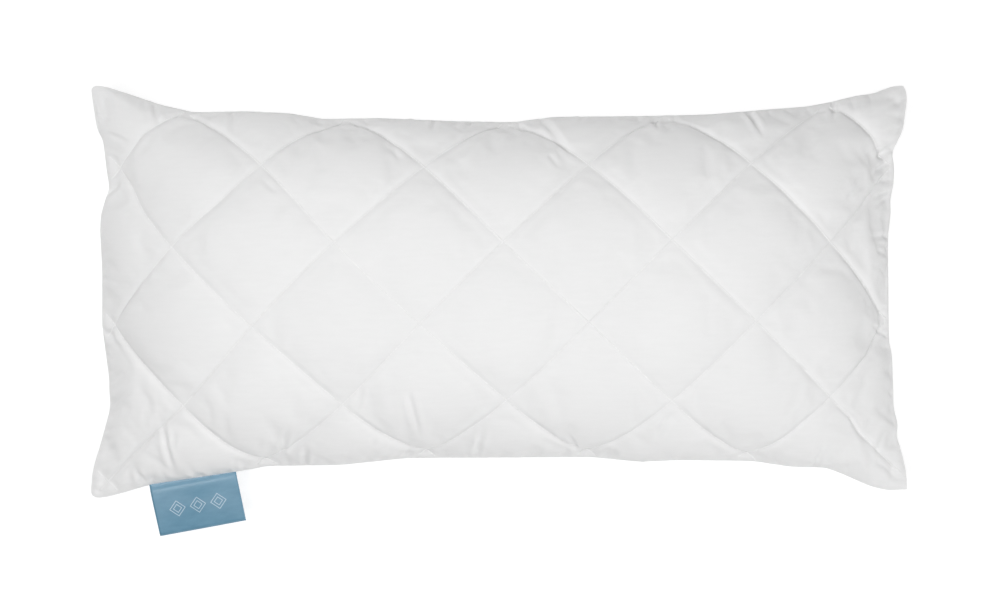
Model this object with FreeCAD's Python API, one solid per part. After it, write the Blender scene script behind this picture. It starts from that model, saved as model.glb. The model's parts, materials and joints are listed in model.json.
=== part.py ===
# Quilted bed pillow with a concealed zip and a folded satin label.
#
# Units are millimetres. X runs along the length, Y across the width and Z up. The origin is on the
# surface the pillow rests on, under the middle of the pillow. The edge seam lies in one level plane.
# The front is above that plane and the back, flattened where it rests, is below it.

import FreeCAD, Part
import math
import os

Vector = FreeCAD.Vector
FRONT, BACK = 1, -1

# Outline of the edge seam
TIP_HALF_LENGTH = 392.0  # centre to a corner tip, along X
TIP_HALF_WIDTH = 198.0  # centre to a corner tip, along Y
SHORT_SIDE_PULL = 14.0  # how far a short side is pulled in at its middle
LONG_SIDE_PULL = 36.0  # how far a long side is pulled in at its middle
BODY_SHIFT_X = -4.0  # the middle of the body sits this far from midway between the tips
BODY_SHIFT_Y = 2.4
FAR_SIDE_SKEW = 8.0  # how far each long side leans up to the right
NEAR_SIDE_SKEW = 21.0

# Heights
SEAM_HEIGHT = 64.0
FRONT_CROWN = 84.0  # seam plane to the top of the front
BACK_CROWN = 72.0  # seam plane to the back's full curve, before it is flattened

# Panel curve, as powers of the share of the way from the centre to a side
SIDE_PULL_POWER = 4
LENGTH_POWER = 6
WIDTH_POWERS = ((2, 0.7), (4, 0.3))

# Cloth layers
OUTER_FABRIC = 0.5
WADDING = 4.0
LINING = 0.4
CASE_FABRIC = 0.5
LAYER_GAP = 0.3
CASE_GAP = 0.5
CASE_EDGE_ROOM = 8.0  # how much shorter than the cover the inner case is at each side
THREAD = 0.6

# How far a layer one millimetre down is drawn in at the sides and at the corner tips
SIDE_INSET = 1.4
TIP_INSET_ROOT = 12.0
TIP_INSET_SHARE = 4.0

# Edge seams
SEAM_INSET = 0.4
SEAM_TIP_INSET = 8.0
SEAM_WIDTH = 1.2
SEAM_THICKNESS = 0.9

# Quilting: crossing diagonal lines, in the flat cover's own length and width
COVER_TAKE_UP_LENGTH = 8.0  # how much longer than the filled pillow the flat cover is, at each end
COVER_TAKE_UP_WIDTH = 2.0
DIAMOND = 153.0  # from one crossing to the next along a row
QUILT_SHIFT = 5.0  # crossings sit this far to the right of the middle
QUILT_MARGIN = 6.0
QUILT_STATIONS = 7
SHORTEST_LINE = 20.0

# Concealed zip in the right-hand side
SLIT_TOP_FROM_TIP = 67.0
SLIT_BOTTOM_FROM_TIP = 51.0
SLIT_CLEARANCE = 0.6  # room above and below the pull as it swings out
ZIP_DEPTH = 13.0  # from the middle of the short side in to the plane of the zip
POCKET_DEPTH = 4.5  # the layers stop this far behind the zip
POCKET_ENDS = 3.0
COIL_GAP = 1.2
COIL_WIDTH = 1.6
COIL_THICKNESS = 1.6
TAPE = 0.5
TAPE_ENDS = 3.0
FACING_CLEARANCE = 1.2  # from the slider up to the strip of cloth turned in behind each lip
FACING_BEHIND = 1.5
ZIP_STITCH_WIDTH = 1.0
ZIP_STITCH_HEIGHT = 1.2
STOP_LENGTH = 2.0
STOP_THICKNESS = 1.8
STOP_GAP = 0.4
SLIDER_LENGTH = 8.5
SLIDER_PLATE = 0.8
SLIDER_FLANGE = 0.7
SLIDER_BRIDGE = 1.5
RUNNING_CLEARANCE = 0.3
PULL_LENGTH = 16.0
PULL_WIDTH = 3.6
PULL_THICKNESS = 1.0
PULL_END_ROOM = 1.0
PIN_RADIUS = 0.6
PIN_CLEARANCE = 0.08
EYE_RADIUS = 1.2
LUG_THICKNESS = 0.8
LUG_RADIUS = 1.0

# Folded satin label in the near long side
LABEL_FROM_TIP = 98.0  # corner tip to the middle of the label
LABEL_WIDTH = 84.0
LABEL_LENGTH = 48.0
LABEL_PLY = 0.3
LABEL_PLY_GAP = 0.3
LABEL_HINGE_OUT = 2.6
LABEL_ROOT_GAP = 0.3
LABEL_TAIL_GAP = 0.55
LABEL_TAIL_LENGTH = 5.0
LABEL_STITCH_INSET = 2.4
LABEL_STITCH_WIDTH = 0.8
LABEL_STITCH_HEIGHT = 3.0
LABEL_STITCH_ENDS = 3.0

# Sizes that follow from the outline
SIDE_HALF_LENGTH = TIP_HALF_LENGTH - SHORT_SIDE_PULL
SIDE_HALF_WIDTH = TIP_HALF_WIDTH - LONG_SIDE_PULL
COVER_HALF_LENGTH = TIP_HALF_LENGTH + COVER_TAKE_UP_LENGTH
COVER_HALF_WIDTH = TIP_HALF_WIDTH + COVER_TAKE_UP_WIDTH
LABEL_CENTRE_X = LABEL_FROM_TIP - TIP_HALF_LENGTH

# Depth of each layer below the outside of the cover
FABRIC_INSIDE = OUTER_FABRIC
WADDING_OUTSIDE = FABRIC_INSIDE + LAYER_GAP
WADDING_INSIDE = WADDING_OUTSIDE + WADDING
LINING_OUTSIDE = WADDING_INSIDE + LAYER_GAP
LINING_INSIDE = LINING_OUTSIDE + LINING
CASE_OUTSIDE = LINING_INSIDE + CASE_GAP
CASE_INSIDE = CASE_OUTSIDE + CASE_FABRIC
FILLING_OUTSIDE = CASE_INSIDE + LAYER_GAP

# Places along the zip
ZIP_X = SIDE_HALF_LENGTH + BODY_SHIFT_X - ZIP_DEPTH
SLIT_TOP_Y = TIP_HALF_WIDTH - SLIT_TOP_FROM_TIP
SLIT_BOTTOM_Y = SLIT_BOTTOM_FROM_TIP - TIP_HALF_WIDTH
SLIT_HALF_HEIGHT = PULL_WIDTH / 2 + SLIT_CLEARANCE
SLIDER_TOP_Y = SLIT_TOP_Y - PULL_END_ROOM - PULL_LENGTH
SLIDER_BOTTOM_Y = SLIT_BOTTOM_Y + PULL_END_ROOM + PULL_LENGTH
CHAIN_TOP_Y = SLIDER_TOP_Y + SLIDER_LENGTH / 2 + STOP_GAP
CHAIN_BOTTOM_Y = SLIDER_BOTTOM_Y - SLIDER_LENGTH / 2 - STOP_GAP
CHAIN_HALF_WIDTH = COIL_GAP / 2 + COIL_WIDTH
PLATE_INSIDE = COIL_THICKNESS / 2 + RUNNING_CLEARANCE
PLATE_OUTSIDE = PLATE_INSIDE + SLIDER_PLATE
SLIDER_HALF_WIDTH = CHAIN_HALF_WIDTH + RUNNING_CLEARANCE + SLIDER_FLANGE
PIN_OUT = PLATE_OUTSIDE + RUNNING_CLEARANCE + EYE_RADIUS
FACING_INSIDE = SLIDER_HALF_WIDTH + FACING_CLEARANCE
FACING_OUTSIDE = FACING_INSIDE + OUTER_FABRIC


def corner_inset(depth):
    """How far a layer at this depth stays back from the corner tips, where the cover is thin."""
    return TIP_INSET_ROOT * math.sqrt(depth) + TIP_INSET_SHARE * depth


def outline_sizes(side_inset, tip_inset):
    """Side and tip half lengths, then side and tip half widths, of an outline inside the seam."""
    return (
        SIDE_HALF_LENGTH - side_inset,
        TIP_HALF_LENGTH - tip_inset,
        SIDE_HALF_WIDTH - side_inset,
        TIP_HALF_WIDTH - tip_inset,
    )


def pole_share(power, index, degree):
    """Value at one pole of t to a power, for t from -1 to 1 on a curve of this degree."""
    total = 0
    for high in range(power + 1):
        low = power - high
        total += math.comb(index, high) * math.comb(degree - index, low) * (-1) ** low
    return total / math.comb(degree, power)


def polynomial_face(x_terms, y_terms, z_terms):
    """A patch whose X, Y and Z are sums of factor * u**p * v**q, for u and v from -1 to 1."""
    u_degree = LENGTH_POWER
    v_degree = max(SIDE_PULL_POWER, WIDTH_POWERS[-1][0])
    poles = []
    for i in range(u_degree + 1):
        row = []
        for j in range(v_degree + 1):
            place = []
            for terms in (x_terms, y_terms, z_terms):
                value = 0.0
                for (p, q), factor in terms.items():
                    value += factor * pole_share(p, i, u_degree) * pole_share(q, j, v_degree)
                place.append(value)
            row.append(Vector(*place))
        poles.append(row)
    surface = Part.BSplineSurface()
    u_ends = [u_degree + 1] * 2
    v_ends = [v_degree + 1] * 2
    surface.buildFromPolesMultsKnots(
        poles, u_ends, v_ends, [0, 1], [0, 1], False, False, u_degree, v_degree
    )
    return surface.toShape()


def plan_terms(sizes):
    """X and Y of the outline and everything inside it, as factors of u**p * v**q."""
    side_length, tip_length, side_width, tip_width = sizes
    pull = SIDE_PULL_POWER
    skew = (FAR_SIDE_SKEW + NEAR_SIDE_SKEW) / 2
    skew_change = (FAR_SIDE_SKEW - NEAR_SIDE_SKEW) / 2
    x_terms = {
        (1, 0): side_length,
        (1, pull): tip_length - side_length,
        (2, 0): BODY_SHIFT_X,
        (2, pull): -BODY_SHIFT_X,
    }
    y_terms = {
        (0, 1): side_width,
        (pull, 1): tip_width - side_width,
        (0, 2): BODY_SHIFT_Y,
        (pull, 2): -BODY_SHIFT_Y,
        (1, 0): skew,
        (3, 0): -skew,
        (1, 1): skew_change,
        (3, 1): -skew_change,
    }
    return x_terms, y_terms


def value_of(terms, u, v):
    """The sum of factor * u**p * v**q."""
    return sum(factor * u**p * v**q for (p, q), factor in terms.items())


def curved_face(sizes, crown):
    """The curved side of a panel whose edge is an outline and whose middle rises by the crown."""
    z_terms = {(0, 0): SEAM_HEIGHT + crown, (LENGTH_POWER, 0): -crown}
    for power, share in WIDTH_POWERS:
        z_terms[(0, power)] = -share * crown
        z_terms[(LENGTH_POWER, power)] = share * crown
    return polynomial_face(*plan_terms(sizes), z_terms)


def level_face(curved):
    """The flat face at the height of the seam inside the edge of a curved face."""
    return Part.Face(Part.Plane(Vector(0, 0, SEAM_HEIGHT), Vector(0, 0, 1)), curved.OuterWire)


def closed_by_lid(curved):
    """The solid between a curved face and the flat lid on its edge."""
    lid = level_face(curved)
    lid.reverse()
    solid = Part.Solid(Part.Shell([curved, lid]))
    if solid.Volume < 0:
        solid.reverse()
    return solid


def half_body(side, depth, edge_room=0.0):
    """Everything inside the cover on one side of the seam plane, from this depth inwards."""
    sizes = outline_sizes(SIDE_INSET * depth + edge_room, corner_inset(depth) + edge_room)
    full_crown = FRONT_CROWN if side == FRONT else BACK_CROWN
    curved = curved_face(sizes, side * (full_crown - depth))
    body = closed_by_lid(curved)
    if side == FRONT:
        return body
    below = BACK_CROWN
    floor = Part.makeBox(
        2 * TIP_HALF_LENGTH,
        2 * TIP_HALF_WIDTH,
        below,
        Vector(-TIP_HALF_LENGTH, -TIP_HALF_WIDTH, depth - below),
    )
    return body.cut(floor)


def layer(side, outside, inside, edge_room=0.0):
    """One cloth layer of the front or back panel."""
    return half_body(side, outside, edge_room).cut(half_body(side, inside, edge_room))


def outline_plate(side_inset, tip_inset, thickness):
    """A level plate of this outline, centred on the seam plane."""
    curved = curved_face(outline_sizes(side_inset, tip_inset), FRONT_CROWN)
    plate = level_face(curved).extrude(Vector(0, 0, thickness))
    plate.translate(Vector(0, 0, -thickness / 2))
    return plate


def seam_ring(side_inset, tip_inset):
    """A closed row of seam stitches that follows the outline."""
    outside = outline_plate(side_inset + SEAM_INSET, tip_inset + SEAM_TIP_INSET, SEAM_THICKNESS)
    inside = outline_plate(
        side_inset + SEAM_INSET + SEAM_WIDTH, tip_inset + SEAM_TIP_INSET + SEAM_WIDTH, SEAM_THICKNESS
    )
    return outside.cut(inside)


def zip_box(x_range, y_range, z_range):
    """A box measured outwards from the plane of the zip and up from the seam plane."""
    size = [high - low for low, high in (x_range, y_range, z_range)]
    corner = Vector(ZIP_X + x_range[0], y_range[0], SEAM_HEIGHT + z_range[0])
    return Part.makeBox(*size, corner)


def mirrored(z_range, side):
    """A height range above the seam plane, moved below it for the back."""
    low, high = z_range
    return (low, high) if side == FRONT else (-high, -low)


def slit():
    """The gap between the two lips of the cover, in front of the zip."""
    outward = (PIN_OUT, TIP_HALF_LENGTH - ZIP_X)
    return zip_box(outward, (SLIT_BOTTOM_Y, SLIT_TOP_Y), (-SLIT_HALF_HEIGHT, SLIT_HALF_HEIGHT))


def zip_pocket():
    """The room for the zip behind the lips, which the inner layers leave free."""
    outward = (-POCKET_DEPTH, TIP_HALF_LENGTH - ZIP_X)
    along = (SLIT_BOTTOM_Y - POCKET_ENDS, SLIT_TOP_Y + POCKET_ENDS)
    return zip_box(outward, along, (-SEAM_HEIGHT, FRONT_CROWN))


def on_cover(length_place, width_place):
    """Where a point of the flat cover lies in plan once the pillow is filled."""
    u = length_place / COVER_HALF_LENGTH
    v = width_place / COVER_HALF_WIDTH
    x_terms, y_terms = plan_terms(outline_sizes(0.0, 0.0))
    return Vector(value_of(x_terms, u, v), value_of(y_terms, u, v), 0)


def quilt_line_ends(crossing):
    """Start and end, along X, of a diagonal that meets the middle line of the cover at this X."""
    length_limit = COVER_HALF_LENGTH - QUILT_MARGIN
    width_limit = COVER_HALF_WIDTH - QUILT_MARGIN
    return max(-length_limit, crossing - width_limit), min(length_limit, crossing + width_limit)


def quilt_wall(crossing, lean, low, high):
    """A thin upright wall along one line of stitches, tall enough to cut through every layer."""
    edges = []
    for across in (-THREAD / 2, THREAD / 2):
        points = []
        for k in range(QUILT_STATIONS):
            place = low + (high - low) * k / (QUILT_STATIONS - 1)
            width_place = lean * (place - crossing)
            middle = on_cover(place, width_place)
            ahead = on_cover(place + 1, width_place + lean) - middle
            points.append(middle + Vector(-ahead.y, ahead.x, 0).normalize() * across)
        curve = Part.BSplineCurve()
        curve.interpolate(points)
        edges.append(curve.toShape())
    first, second = edges
    start_cap = Part.makeLine(first.valueAt(first.FirstParameter), second.valueAt(second.FirstParameter))
    end_cap = Part.makeLine(first.valueAt(first.LastParameter), second.valueAt(second.LastParameter))
    outline = Part.Wire(Part.sortEdges([first, end_cap, second, start_cap])[0])
    return Part.Face(outline).extrude(Vector(0, 0, SEAM_HEIGHT + FRONT_CROWN))


def quilting(side):
    """All the quilting stitches of one panel, from its outside to the inside of its lining."""
    through = layer(side, 0.0, LINING_INSIDE)
    reach = COVER_HALF_LENGTH + COVER_HALF_WIDTH
    rows = int(reach / DIAMOND) + 1
    walls = []
    for lean in (1, -1):
        for row in range(-rows, rows + 1):
            crossing = QUILT_SHIFT + DIAMOND * row - lean * DIAMOND / 4
            low, high = quilt_line_ends(crossing)
            if high - low > SHORTEST_LINE:
                walls.append(quilt_wall(crossing, lean, low, high))
    stitches = [wall.common(through) for wall in walls]
    net = stitches[0].multiFuse(stitches[1:])
    return net.cut(zip_pocket())


def zip_facing(side):
    """The strip of cover cloth turned in behind one lip of the slit, down to the tape."""
    outward = (-FACING_BEHIND, TIP_HALF_LENGTH - ZIP_X)
    strip = zip_box(
        outward, (SLIT_BOTTOM_Y, SLIT_TOP_Y), mirrored((FACING_INSIDE, FACING_OUTSIDE), side)
    )
    return strip.common(half_body(side, OUTER_FABRIC / 2))


def zip_tape(side):
    """Tape from its coil through the facing that it is sewn to."""
    along = (CHAIN_BOTTOM_Y - TAPE_ENDS, CHAIN_TOP_Y + TAPE_ENDS)
    return zip_box((-TAPE / 2, TAPE / 2), along, mirrored((CHAIN_HALF_WIDTH, FACING_OUTSIDE), side))


def zip_stitching(side):
    """The row of stitches that holds one tape to its facing."""
    along = (CHAIN_BOTTOM_Y - TAPE_ENDS, CHAIN_TOP_Y + TAPE_ENDS)
    half = ZIP_STITCH_WIDTH / 2
    z_range = mirrored((FACING_INSIDE, FACING_INSIDE + ZIP_STITCH_HEIGHT), side)
    return zip_box((-half, half), along, z_range)


def zip_coil(side):
    """One coil row, drawn as a straight bead. The slider's bridge runs in the gap between the rows."""
    half = COIL_THICKNESS / 2
    z_range = mirrored((COIL_GAP / 2, CHAIN_HALF_WIDTH), side)
    return zip_box((-half, half), (CHAIN_BOTTOM_Y, CHAIN_TOP_Y), z_range)


def zip_top_stops():
    """One stop at the top of each coil row."""
    half = STOP_THICKNESS / 2
    along = (CHAIN_TOP_Y, CHAIN_TOP_Y + STOP_LENGTH)
    stops = []
    for side in (FRONT, BACK):
        z_range = mirrored((COIL_GAP / 2, CHAIN_HALF_WIDTH), side)
        stops.append(zip_box((-half, half), along, z_range))
    return Part.makeCompound(stops)


def zip_bottom_stop():
    """The stop that joins the two coil rows at the bottom."""
    half = STOP_THICKNESS / 2
    along = (CHAIN_BOTTOM_Y - STOP_LENGTH, CHAIN_BOTTOM_Y)
    return zip_box((-half, half), along, (-CHAIN_HALF_WIDTH, CHAIN_HALF_WIDTH))


def pin_cylinder(radius, half_length):
    """A cylinder on the pull's pin, which stands upright at the middle of the closed slider."""
    base = Vector(ZIP_X + PIN_OUT, SLIDER_TOP_Y, SEAM_HEIGHT - half_length)
    return Part.makeCylinder(radius, 2 * half_length, base)


def zip_slider():
    """Two plates joined by a bridge, with flanges round the coils and two lugs that hold the pin."""
    half = SLIDER_LENGTH / 2
    along = (SLIDER_TOP_Y - half, SLIDER_TOP_Y + half)
    plate_width = (-SLIDER_HALF_WIDTH, SLIDER_HALF_WIDTH)
    flange_inside = SLIDER_HALF_WIDTH - SLIDER_FLANGE
    tape_room = TAPE / 2 + RUNNING_CLEARANCE
    bridge_half = COIL_GAP / 2 - RUNNING_CLEARANCE
    bridge_along = (along[1] - SLIDER_BRIDGE, along[1])
    pieces = [zip_box((-PLATE_INSIDE, PLATE_INSIDE), bridge_along, (-bridge_half, bridge_half))]
    for low, high in ((PLATE_INSIDE, PLATE_OUTSIDE), (-PLATE_OUTSIDE, -PLATE_INSIDE)):
        pieces.append(zip_box((low, high), along, plate_width))
    for side in (FRONT, BACK):
        z_range = mirrored((flange_inside, SLIDER_HALF_WIDTH), side)
        pieces.append(zip_box((tape_room, PLATE_INSIDE), along, z_range))
        pieces.append(zip_box((-PLATE_INSIDE, -tape_room), along, z_range))
    lug_inside = PULL_WIDTH / 2 + RUNNING_CLEARANCE
    lug_outside = lug_inside + LUG_THICKNESS
    lug_along = (SLIDER_TOP_Y - LUG_RADIUS, SLIDER_TOP_Y + LUG_RADIUS)
    for side in (FRONT, BACK):
        z_range = mirrored((lug_inside, lug_outside), side)
        pieces.append(zip_box((PLATE_OUTSIDE, PIN_OUT + LUG_RADIUS), lug_along, z_range))
    pieces.append(pin_cylinder(PIN_RADIUS, lug_outside))
    return pieces[0].multiFuse(pieces[1:]).removeSplitter()


def zip_pull():
    """A narrow tab with an eye round the pin, folded back along the closed chain."""
    half = PULL_WIDTH / 2
    thick = PULL_THICKNESS / 2
    tab = zip_box(
        (PIN_OUT - thick, PIN_OUT + thick),
        (SLIDER_TOP_Y - PULL_LENGTH, SLIDER_TOP_Y),
        (-half, half),
    )
    pull = tab.fuse(pin_cylinder(EYE_RADIUS, half))
    return pull.cut(pin_cylinder(PIN_RADIUS + PIN_CLEARANCE, SLIDER_HALF_WIDTH)).removeSplitter()


def label_place():
    """Where the middle of the label's seam is, with local Y pointing into the pillow."""
    y_terms = plan_terms(outline_sizes(0.0, 0.0))[1]
    ends = []
    for x in (LABEL_CENTRE_X - LABEL_WIDTH / 2, LABEL_CENTRE_X + LABEL_WIDTH / 2):
        ends.append(Vector(x, value_of(y_terms, x / TIP_HALF_LENGTH, -1), 0))
    across = ends[1] - ends[0]
    seam_y = value_of(y_terms, LABEL_CENTRE_X / TIP_HALF_LENGTH, -1)
    turn = FreeCAD.Rotation(Vector(0, 0, 1), math.degrees(math.atan2(across.y, across.x)))
    return FreeCAD.Placement(Vector(LABEL_CENTRE_X, seam_y, SEAM_HEIGHT), turn)


def label_slab(half_thickness, root, end, fold_radius):
    """A flat strip that ends in a round fold, before it is moved to the seam."""
    strip = Part.makeBox(
        LABEL_WIDTH, root - end, 2 * half_thickness, Vector(-LABEL_WIDTH / 2, end, -half_thickness)
    )
    fold = Part.makeCylinder(fold_radius, LABEL_WIDTH, Vector(-LABEL_WIDTH / 2, end, 0), Vector(1, 0, 0))
    return strip.fuse(fold)


def satin_label():
    """The free part of the label: one strip folded double, with its fold at the outer end."""
    outside = LABEL_PLY + LABEL_PLY_GAP / 2
    inside = LABEL_PLY_GAP / 2
    root = -(LABEL_HINGE_OUT + LABEL_ROOT_GAP)
    end = -(LABEL_HINGE_OUT + LABEL_LENGTH) + outside
    loop = label_slab(outside, root, end, outside).cut(label_slab(inside, root, end, inside))
    loop.Placement = label_place()
    return loop.removeSplitter()


def label_tail():
    """The two ends of the label, caught flat in the seam."""
    outer_end = -(LABEL_HINGE_OUT - LABEL_TAIL_GAP)
    tail = Part.makeBox(
        LABEL_WIDTH,
        LABEL_TAIL_LENGTH - outer_end,
        2 * LABEL_PLY,
        Vector(-LABEL_WIDTH / 2, outer_end, -LABEL_PLY),
    )
    tail.Placement = label_place()
    return tail


def label_stitching():
    """The row of stitches across the label's tail, kept inside the two outer fabrics."""
    length = LABEL_WIDTH - 2 * LABEL_STITCH_ENDS
    row = Part.makeBox(
        length,
        LABEL_STITCH_WIDTH,
        LABEL_STITCH_HEIGHT,
        Vector(-length / 2, LABEL_STITCH_INSET, -LABEL_STITCH_HEIGHT / 2),
    )
    row.Placement = label_place()
    return row


def filling():
    """The fibre filling, one soft mass inside the inner case."""
    halves = [half_body(side, FILLING_OUTSIDE, CASE_EDGE_ROOM) for side in (FRONT, BACK)]
    return halves[0].fuse(halves[1]).removeSplitter()


def build():
    """Every node of the pillow, by name."""
    nodes = {}
    for side, name in ((FRONT, "front"), (BACK, "back")):
        nodes[name + "_outer_fabric"] = layer(side, 0.0, FABRIC_INSIDE).cut(slit())
        nodes[name + "_wadding"] = layer(side, WADDING_OUTSIDE, WADDING_INSIDE).cut(zip_pocket())
        nodes[name + "_lining"] = layer(side, LINING_OUTSIDE, LINING_INSIDE).cut(zip_pocket())
        nodes[name + "_quilting_thread"] = quilting(side)
        nodes[name + "_inner_case"] = layer(side, CASE_OUTSIDE, CASE_INSIDE, CASE_EDGE_ROOM)
        nodes["zip_facing_" + name] = zip_facing(side)
        nodes["zip_tape_" + name] = zip_tape(side)
        nodes["zip_stitching_" + name] = zip_stitching(side)
        nodes["zip_coil_" + name] = zip_coil(side)
    nodes["edge_seam_thread"] = seam_ring(0.0, 0.0).cut(slit())
    case_inset = SIDE_INSET * CASE_OUTSIDE + CASE_EDGE_ROOM
    case_tip_inset = corner_inset(CASE_OUTSIDE) + CASE_EDGE_ROOM
    nodes["inner_case_seam_thread"] = seam_ring(case_inset, case_tip_inset)
    nodes["fibre_filling"] = filling()
    nodes["zip_top_stops"] = zip_top_stops()
    nodes["zip_bottom_stop"] = zip_bottom_stop()
    nodes["zip_slider"] = zip_slider()
    nodes["zip_pull"] = zip_pull()
    nodes["satin_label"] = satin_label()
    nodes["label_tail"] = label_tail()
    nodes["label_stitching"] = label_stitching()
    return nodes


def main():
    os.makedirs("parts", exist_ok=True)
    for name, shape in build().items():
        shape.exportStep("parts/" + name + ".step")
        print(name, "solids", len(shape.Solids), "valid", shape.isValid(), "mm3", round(shape.Volume))
    place = label_place()
    along_seam = place.Rotation.multVec(Vector(1, 0, 0))
    hinge = place.multVec(Vector(0, -LABEL_HINGE_OUT, 0))
    print("label hinge at", hinge, "along", along_seam)
    print("pull pin at", ZIP_X + PIN_OUT, SLIDER_TOP_Y, SEAM_HEIGHT)
    print("slider travel", SLIDER_TOP_Y - SLIDER_BOTTOM_Y)


main()
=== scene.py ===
import json
import math

import bpy
import numpy as np
from mathutils import Matrix, Vector


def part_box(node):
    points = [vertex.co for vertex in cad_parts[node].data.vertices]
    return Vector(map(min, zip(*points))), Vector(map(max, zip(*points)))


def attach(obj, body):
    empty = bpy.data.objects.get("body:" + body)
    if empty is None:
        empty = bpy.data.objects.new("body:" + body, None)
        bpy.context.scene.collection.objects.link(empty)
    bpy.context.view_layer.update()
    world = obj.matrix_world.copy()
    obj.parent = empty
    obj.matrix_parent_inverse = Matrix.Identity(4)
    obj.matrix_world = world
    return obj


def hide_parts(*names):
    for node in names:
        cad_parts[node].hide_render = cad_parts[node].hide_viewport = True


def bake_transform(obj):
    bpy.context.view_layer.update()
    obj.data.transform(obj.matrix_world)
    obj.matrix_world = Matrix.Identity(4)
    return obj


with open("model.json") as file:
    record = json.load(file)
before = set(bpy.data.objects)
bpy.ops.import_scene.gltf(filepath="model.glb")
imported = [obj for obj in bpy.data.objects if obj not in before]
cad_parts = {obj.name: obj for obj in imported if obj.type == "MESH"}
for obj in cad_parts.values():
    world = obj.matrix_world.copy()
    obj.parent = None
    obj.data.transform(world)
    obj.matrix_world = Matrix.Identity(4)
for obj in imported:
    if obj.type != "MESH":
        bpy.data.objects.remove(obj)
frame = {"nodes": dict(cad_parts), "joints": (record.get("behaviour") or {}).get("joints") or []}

# Looks of the quilted bed pillow. Shapes are worked out in millimetres in the frame of the CAD model
# and turned into metres when a mesh is made. The cover is laid out on the flat cloth: "length place"
# and "width place" are millimetres along and across the cover before it was filled.

MM = 0.001
SEED = 7
FRONT, BACK = 1, -1

# ---------------------------------------------------------------- sizes from the frame
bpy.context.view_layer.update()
COVER_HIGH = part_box("front_outer_fabric")[1]
SEAM_LOW, SEAM_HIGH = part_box("edge_seam_thread")
FACING_LOW, FACING_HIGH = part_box("zip_facing_front")
PULL_LOW, PULL_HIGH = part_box("zip_pull")
CASE_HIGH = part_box("front_inner_case")[1]
FILLING_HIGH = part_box("fibre_filling")[1]

TIP_X = COVER_HIGH.x / MM
TIP_Y = COVER_HIGH.y / MM
SEAM_Z = (SEAM_LOW.z + SEAM_HIGH.z) / 2 / MM
FRONT_CROWN = COVER_HIGH.z / MM - SEAM_Z
SLIT_MARGIN = 2.5  # the slit runs past the zip's facings, so that the pull clears its ends
SLIT_LOW_Y = FACING_LOW.y / MM - SLIT_MARGIN
SLIT_HIGH_Y = FACING_HIGH.y / MM + SLIT_MARGIN
POCKET_X = FACING_LOW.x / MM
POCKET_HALF_HEIGHT = FACING_LOW.z / MM - SEAM_Z
LIP_CLEARANCE = 0.6
LIP_HALF_HEIGHT = (PULL_HIGH.z - PULL_LOW.z) / 2 / MM + LIP_CLEARANCE

# ---------------------------------------------------------------- cover
BACK_CROWN = 72.0  # the back's full curve below the seam, before the floor flattens it
SIDE_HALF_LENGTH = TIP_X - 14.0
SIDE_HALF_WIDTH = TIP_Y - 36.0
LENGTH_PROFILE = (4.6, 0.756)  # powers of the crown's curve along and across the pillow
WIDTH_PROFILE = (2.5, 0.56)
CORNER_FLATNESS = 1.6  # power with which the rise of the crown dies out towards the corners
GRID_STEP = 1.8
FLANGE = 1.0  # the doubled cloth that stands out along the seam
FLANGE_OUT = 0.6
FLANGE_HALF_THICKNESS = 0.5
TIP_RADIUS = 7.0
FLOOR_SOFTNESS = 5.0
FLOOR_PRESS = 0.15  # share of a puff's height that is left where the floor presses on it
FLOOR_CLEARANCE = 0.02
WALL_REACH = 13.0  # the steep cloth this near to the seam does not bulge past it
LUMPS = ((23.0, 0.35, 3, 20), (61.0, 0.8, 5, 30))  # width, height, seed step, reach from the seam

# How far each side is pulled in from the line between its corner tips: place along the side, pull
FAR_SIDE = (
    (-392, 0), (-378, 1), (-355, 8.5), (-324, 19), (-293, 26), (-245, 25), (-200, 27), (-168, 32.5),
    (-116, 31.5), (-45, 34.5), (14, 35.5), (53, 30.5), (147, 29.5), (205, 28), (264, 23), (297, 20.5),
    (319, 16.5), (343, 10.5), (363, 7.5), (379, 1), (392, 0),
)
NEAR_SIDE = (
    (-392, 0), (-380, 0), (-363, 4.2), (-335, 12.5), (-253, 24.7), (-222, 30.5), (-153, 31.4),
    (-125, 34.3), (-88, 38.2), (89, 39.1), (135, 34.5), (172, 36.2), (244, 35.3), (282, 29.5),
    (314, 29), (330, 23), (356, 11.3), (374, 7), (392, 8),
)
LEFT_SIDE = (
    (-198, 0), (-176, 1.3), (-164, 4), (-145, 10), (-113, 18.6), (-82, 17.6), (-48, 13), (-33, 11),
    (23, 11), (59, 9), (75, 10), (89, 14), (100, 18.6), (111, 16), (146, 12), (156, 6), (176, 3),
    (198, 0),
)
RIGHT_SIDE = (
    (-198, 0), (-179, 1.3), (-159, 6), (-147, 11), (-135, 9), (-120, 13.3), (-65, 15), (-54, 18),
    (49, 19), (75, 16), (86, 17), (101, 13.3), (123, 13), (130, 16), (154, 4), (186, 0), (198, 2),
)
EDGE_SOFTNESS = 4.0
BODY_SOFTNESS = 45.0
RIPPLE_REACH = 8  # power of the fade of an edge's ripples towards the middle

# Quilting
DIAMOND_LENGTH = 157.1
DIAMOND_WIDTH = 151.5
QUILT_SHIFT_LENGTH = 6.8
QUILT_SHIFT_WIDTH = 5.6
FEWEST_STITCHES = 4  # a line with fewer is left out
QUILT_ROWS = 6  # lines of each family on each side of the middle, some of them off the cloth
PUFF_IN_MIDDLE = 4.0  # the filling pulls the cloth tight there
PUFF_NEAR_SEAM = 9.0
PUFF_IN_CORNER = 1.0
PUFF_LEVEL = 0.75
GROOVE_TERMS = ((0.3, 3.0), (0.7, 18.0))  # share of the puff and how wide it is

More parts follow.
